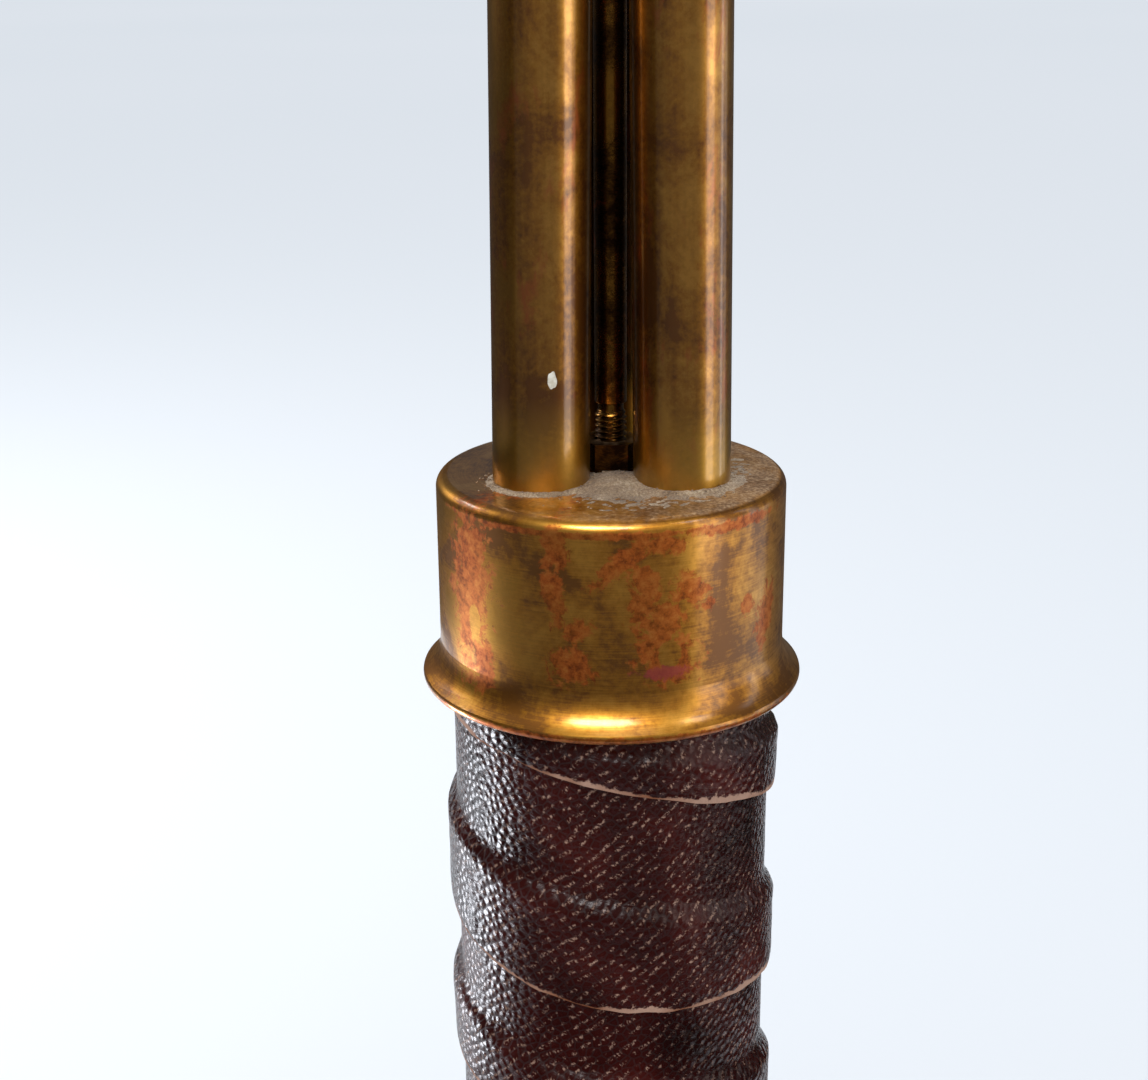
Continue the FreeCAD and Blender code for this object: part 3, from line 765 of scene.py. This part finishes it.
def dustDepth(x, y):
    # mm of dust above the collar's top at a point, below zero where the metal is bare
    spot = Vector((x, y, 0))
    gap = max(0, min((spot - foot).length for foot in tubeFeet) - tubeRadius) * 1000
    against = dustLook["feetDepth"] * math.exp(-((gap / 0.8) ** 2))
    fromHeap = (spot - Vector((0.0004, -0.0062, 0))).length * 1000
    heap = dustLook["heapDepth"] * math.exp(-((fromHeap / 4.2) ** 2))
    middle = 0.5 * math.exp(-((spot.length * 1000 / 5.0) ** 2))
    drift = 0.10 * (x * 1000 + 4) / 20 - 0.06 * (y * 1000 + 6) / 20
    rough = 0.16 * noise.noise(spot * 900) + 0.10 * noise.noise(spot * 2600 + Vector((5, 1, 2)))
    edge = 0.5 * smooth((spot.length - 0.0172) / 0.002)
    return max(against, heap) + middle * 0.3 + drift + rough - 0.09 - edge


def makeDust(material):
    deselectAll()
    bpy.ops.mesh.primitive_grid_add(x_subdivisions=dustLook["cuts"],
                                    y_subdivisions=dustLook["cuts"],
                                    size=2 * dustLook["spread"], location=(0, 0, collarHigh.z))
    piece = bpy.context.object
    activate(piece)
    bpy.ops.object.transform_apply(location=True, rotation=True, scale=True)
    selectNothing("VERT")
    for vertex in piece.data.vertices:
        vertex.select = vertex.co.xy.length > dustLook["spread"] * dustLook["rim"]
    bpy.ops.object.mode_set(mode="EDIT")
    bpy.ops.mesh.delete(type="VERT")
    bpy.ops.object.mode_set(mode="OBJECT")
    for vertex in piece.data.vertices:
        vertex.co.z = collarHigh.z + max(-0.3, dustDepth(vertex.co.x, vertex.co.y)) * mm
    shell = piece.modifiers.new("depth", "SOLIDIFY")
    shell.thickness = dustLook["thickness"]
    shell.offset = -1
    bpy.ops.object.modifier_apply(modifier=shell.name)
    bpy.ops.object.shade_smooth()
    settle(piece, "dust_layer", "column", material)


def makeCrumbs(material):
    # loose crumbs that have rolled against the tubes' feet
    chance = random.Random(dustLook["seed"])
    deselectAll()
    bpy.ops.mesh.primitive_ico_sphere_add(subdivisions=1, radius=1)
    crumb = bpy.context.object
    pieces = []
    while len(pieces) < dustLook["crumbs"]:
        foot = tubeFeet[chance.choice((0, 1, 1, 0, 2))]
        turn = chance.uniform(0, 2 * math.pi)
        reach = tubeRadius + abs(chance.gauss(0, 0.0011))
        spot = foot + Vector((reach * math.cos(turn), reach * math.sin(turn), 0))
        clear = min((spot - other).length for other in tubeFeet) > tubeRadius - 0.00005
        if spot.length > 0.0185 or not clear:
            continue
        size = chance.uniform(*dustLook["crumbSize"])
        depth = max(0, dustDepth(spot.x, spot.y)) * mm
        copy = crumb.copy()
        copy.data = crumb.data.copy()
        shares = [chance.uniform(*ends) for ends in ((0.7, 1.5), (0.6, 1.2), (0.5, 0.9))]
        stretch = Matrix.Diagonal((*shares, 1))
        spin = Matrix.Rotation(chance.uniform(0, 6.28), 4, "Z")
        there = Matrix.Translation((spot.x, spot.y, collarHigh.z + depth + size * 0.3))
        copy.data.transform(there @ spin @ stretch @ Matrix.Scale(size, 4))
        bpy.context.scene.collection.objects.link(copy)
        pieces.append(copy)
    bpy.data.objects.remove(crumb)
    joined = joinPieces(pieces)
    settle(joined, "dust_crumbs", "column", material)


paintLook = {
    "turn": 13.2,
    "height": 14.0,  # mm above the collar
    "halfWidth": 0.55,
    "halfHeight": 1.1,
    "depth": 0.07,
    "tubeLean": 0.7,  # degrees that the tube leans in towards the rod
}


def paintDrop():
    # a dried drop of white gloss paint
    material, tree = newMaterial("dried_gloss_paint")
    place = addNode(tree, "TexCoord").outputs["Object"]
    stainNoise = noiseAt(tree, place, 1800.0, 3.0)
    tint = rampTo(tree, stainNoise, [(0.35, "#cfc6b0"), (0.6, "#ebe6d8")])
    bump = bumpOf(tree, stainNoise, 0.4, 0.00005)
    finishShader(tree, {"Base Color": tint, "Roughness": 0.4, "Normal": bump})
    return material


def makePaintFleck():
    lean = math.tan(math.radians(paintLook["tubeLean"])) * paintLook["height"] * mm
    foot = tubeFeet[0] * (1 - lean / tubeCircle)
    turn = math.radians(paintLook["turn"])
    outward = Vector((math.sin(turn), -math.cos(turn), 0))
    spot = foot + outward * tubeRadius + Vector((0, 0, collarHigh.z + paintLook["height"] * mm))
    deselectAll()
    bpy.ops.mesh.primitive_uv_sphere_add(segments=24, ring_count=14, radius=1)
    piece = bpy.context.object
    for vertex in piece.data.vertices:
        x, depth, z = vertex.co.x, vertex.co.y, vertex.co.z
        bulge = 1 + 0.28 * noise.noise(Vector((x * 1.3, z * 1.3, 4.2)))
        local = Vector((x * paintLook["halfWidth"] * bulge, depth * paintLook["depth"],
                        z * paintLook["halfHeight"] * bulge)) * mm
        side = Vector((math.cos(turn), math.sin(turn), 0))
        sag = (local.x**2) / (2 * tubeRadius)
        vertex.co = spot + side * local.x - outward * (local.y + sag) + Vector((0, 0, local.z))
    activate(piece)
    bpy.ops.object.mode_set(mode="EDIT")
    bpy.ops.mesh.select_all(action="SELECT")
    bpy.ops.mesh.normals_make_consistent(inside=False)
    bpy.ops.object.mode_set(mode="OBJECT")
    bpy.ops.object.shade_smooth()
    settle(piece, "paint_fleck", "column", paintDrop())


dust = settledDust()
makeDust(dust)
makeCrumbs(dust)
makePaintFleck()
print("dust and paint in place")

studio = {
    "floorRadius": 14.0,
    "worldColour": "#e9ecef",
    "worldStrength": 1.13,
    "roomStrength": 0.16,
}


def makeFloor():
    deselectAll()
    bpy.ops.mesh.primitive_circle_add(vertices=96, radius=studio["floorRadius"], fill_type="NGON",
                                      location=(0, 0, 0))
    floor = bpy.context.object
    material, tree = newMaterial("matt_paper_floor")
    place = addNode(tree, "TexCoord").outputs["Object"]
    fibre = noiseAt(tree, place, 0.5, 1.0)
    tint = rampTo(tree, fibre, [(0.3, "#e3e7ec"), (0.7, "#e6e9ee")])
    finishShader(tree, {"Base Color": tint, "Roughness": 1.0, "Specular IOR Level": 0.0})
    floor.name = "floor"
    floor.data.materials.append(material)


def hangLamp(name, kind, where, power, colour):
    data = bpy.data.lights.new(name, kind)
    data.energy = power
    data.color = linear(colour)[:3]
    lamp = bpy.data.objects.new(name, data)
    bpy.context.scene.collection.objects.link(lamp)
    lamp.location = where
    lamp.visible_camera = False
    return lamp


def softbox(name, azimuth, distance, height, width, tall, power, colour, lightsPaper=False):
    # azimuth in degrees to the right of the front; the lamp faces the column, and most lamps
    # are there for the reflections in the metal and leave the paper alone
    turn = math.radians(azimuth)
    where = Vector((math.sin(turn) * distance, -math.cos(turn) * distance, height))
    lamp = hangLamp(name, "AREA", where, power, colour)
    lamp.data.shape = "RECTANGLE"
    lamp.data.size = width
    lamp.data.size_y = tall
    middle = Vector((0, 0, 0.15))
    lamp.rotation_euler = (middle - where).to_track_quat("-Z", "Y").to_euler()
    lamp.visible_diffuse = lightsPaper


def darkFlag(name, start, end, radius, low, high, colour):
    # a curved dark card that only reflections see, as hung to shape the light on polished metal
    card = addCylinder(radius, low, high, 120, end_fill_type="NOTHING")
    selectNothing("FACE")
    for face in card.data.polygons:
        turn = math.degrees(math.atan2(face.center.x, -face.center.y))
        face.select = not start <= turn <= end
    bpy.ops.object.mode_set(mode="EDIT")
    bpy.ops.mesh.delete(type="FACE")
    bpy.ops.object.mode_set(mode="OBJECT")
    material, tree = newMaterial(name + "_cloth")
    finishShader(tree, {"Base Color": linear(colour), "Roughness": 1.0})
    card.name = name
    card.data.materials.append(material)
    for kind in ("camera", "diffuse", "shadow", "transmission", "volume_scatter"):
        setattr(card, "visible_" + kind, False)


makeFloor()
softbox("right_front_softbox", 64, 0.46, 0.22, 0.16, 0.44, 0.62, "#fff6ea")
softbox("right_edge_softbox", 98, 0.50, 0.24, 0.06, 0.48, 0.20, "#ffffff")
softbox("left_low_softbox", -106, 0.15, 0.045, 0.05, 0.06, 0.22, "#f2f6ff")
softbox("front_high_softbox", -8, 0.46, 0.62, 0.36, 0.18, 4.2, "#ffffff")
softbox("right_high_softbox", 64, 0.46, 0.62, 0.14, 0.14, 0.4, "#ffffff")
softbox("top_softbox", 15, 0.35, 1.10, 0.40, 0.40, 0.6, "#ffffff", True)
paperLamp = hangLamp("left_paper_lamp", "POINT", (-0.44, 0.24, 0.42), 5.0, "#ffffff")
paperLamp.data.shadow_soft_size = 0.10
darkFlag("front_low_flag", -56, 50, 0.13, 0.001, 0.095, "#14110f")
darkFlag("front_high_flag", -56, 50, 0.13, 0.095, 0.235, "#7f7a70")
darkFlag("left_low_flag", -84, -56, 0.13, 0.001, 0.098, "#24201d")
darkFlag("front_near_flag", -70, 60, 0.045, 0.001, 0.078, "#14110f")
darkFlag("left_high_flag", -165, -56, 0.13, 0.098, 0.235, "#2e2a25")
darkFlag("right_high_flag", 112, 165, 0.13, 0.085, 0.235, "#4a443c")
darkFlag("right_low_flag", 50, 140, 0.13, 0.001, 0.085, "#14110f")

world = bpy.data.worlds.new("studio_air")
world.use_nodes = True
air = world.node_tree.nodes["Background"]
air.inputs[0].default_value = linear(studio["worldColour"])
# polished surfaces see a dimmer room round the lamps than the paper floor does
rays = addNode(world.node_tree, "LightPath")
dimming = remap(world.node_tree, rays.outputs["Is Glossy Ray"], 0.0, 1.0,
                studio["worldStrength"], studio["roomStrength"])
world.node_tree.links.new(dimming.outputs[0], air.inputs[1])
bpy.context.scene.world = world
bpy.context.scene.view_settings.view_transform = "Standard"

cameraLook = {
    "lens": 58.25,
    "aside": -0.0047,  # from the column's axis
    "back": -0.2244,
    "aboveCollar": 0.0652,
    "down": 18.37,
    "roll": 0.5,
}
eye = bpy.data.cameras.new("camera")
eye.lens = cameraLook["lens"]
eye.sensor_width = 36
eye.clip_start = 0.01
eye.clip_end = 50
camera = bpy.data.objects.new("camera", eye)
bpy.context.scene.collection.objects.link(camera)
tip = Matrix.Rotation(math.radians(90 - cameraLook["down"]), 4, "X")
roll = Matrix.Rotation(math.radians(-cameraLook["roll"]), 4, "Z")
stand = Matrix.Translation((cameraLook["aside"], cameraLook["back"],
                            collarHigh.z + cameraLook["aboveCollar"]))
camera.matrix_world = stand @ tip @ roll
bpy.context.scene.camera = camera
print("studio set")
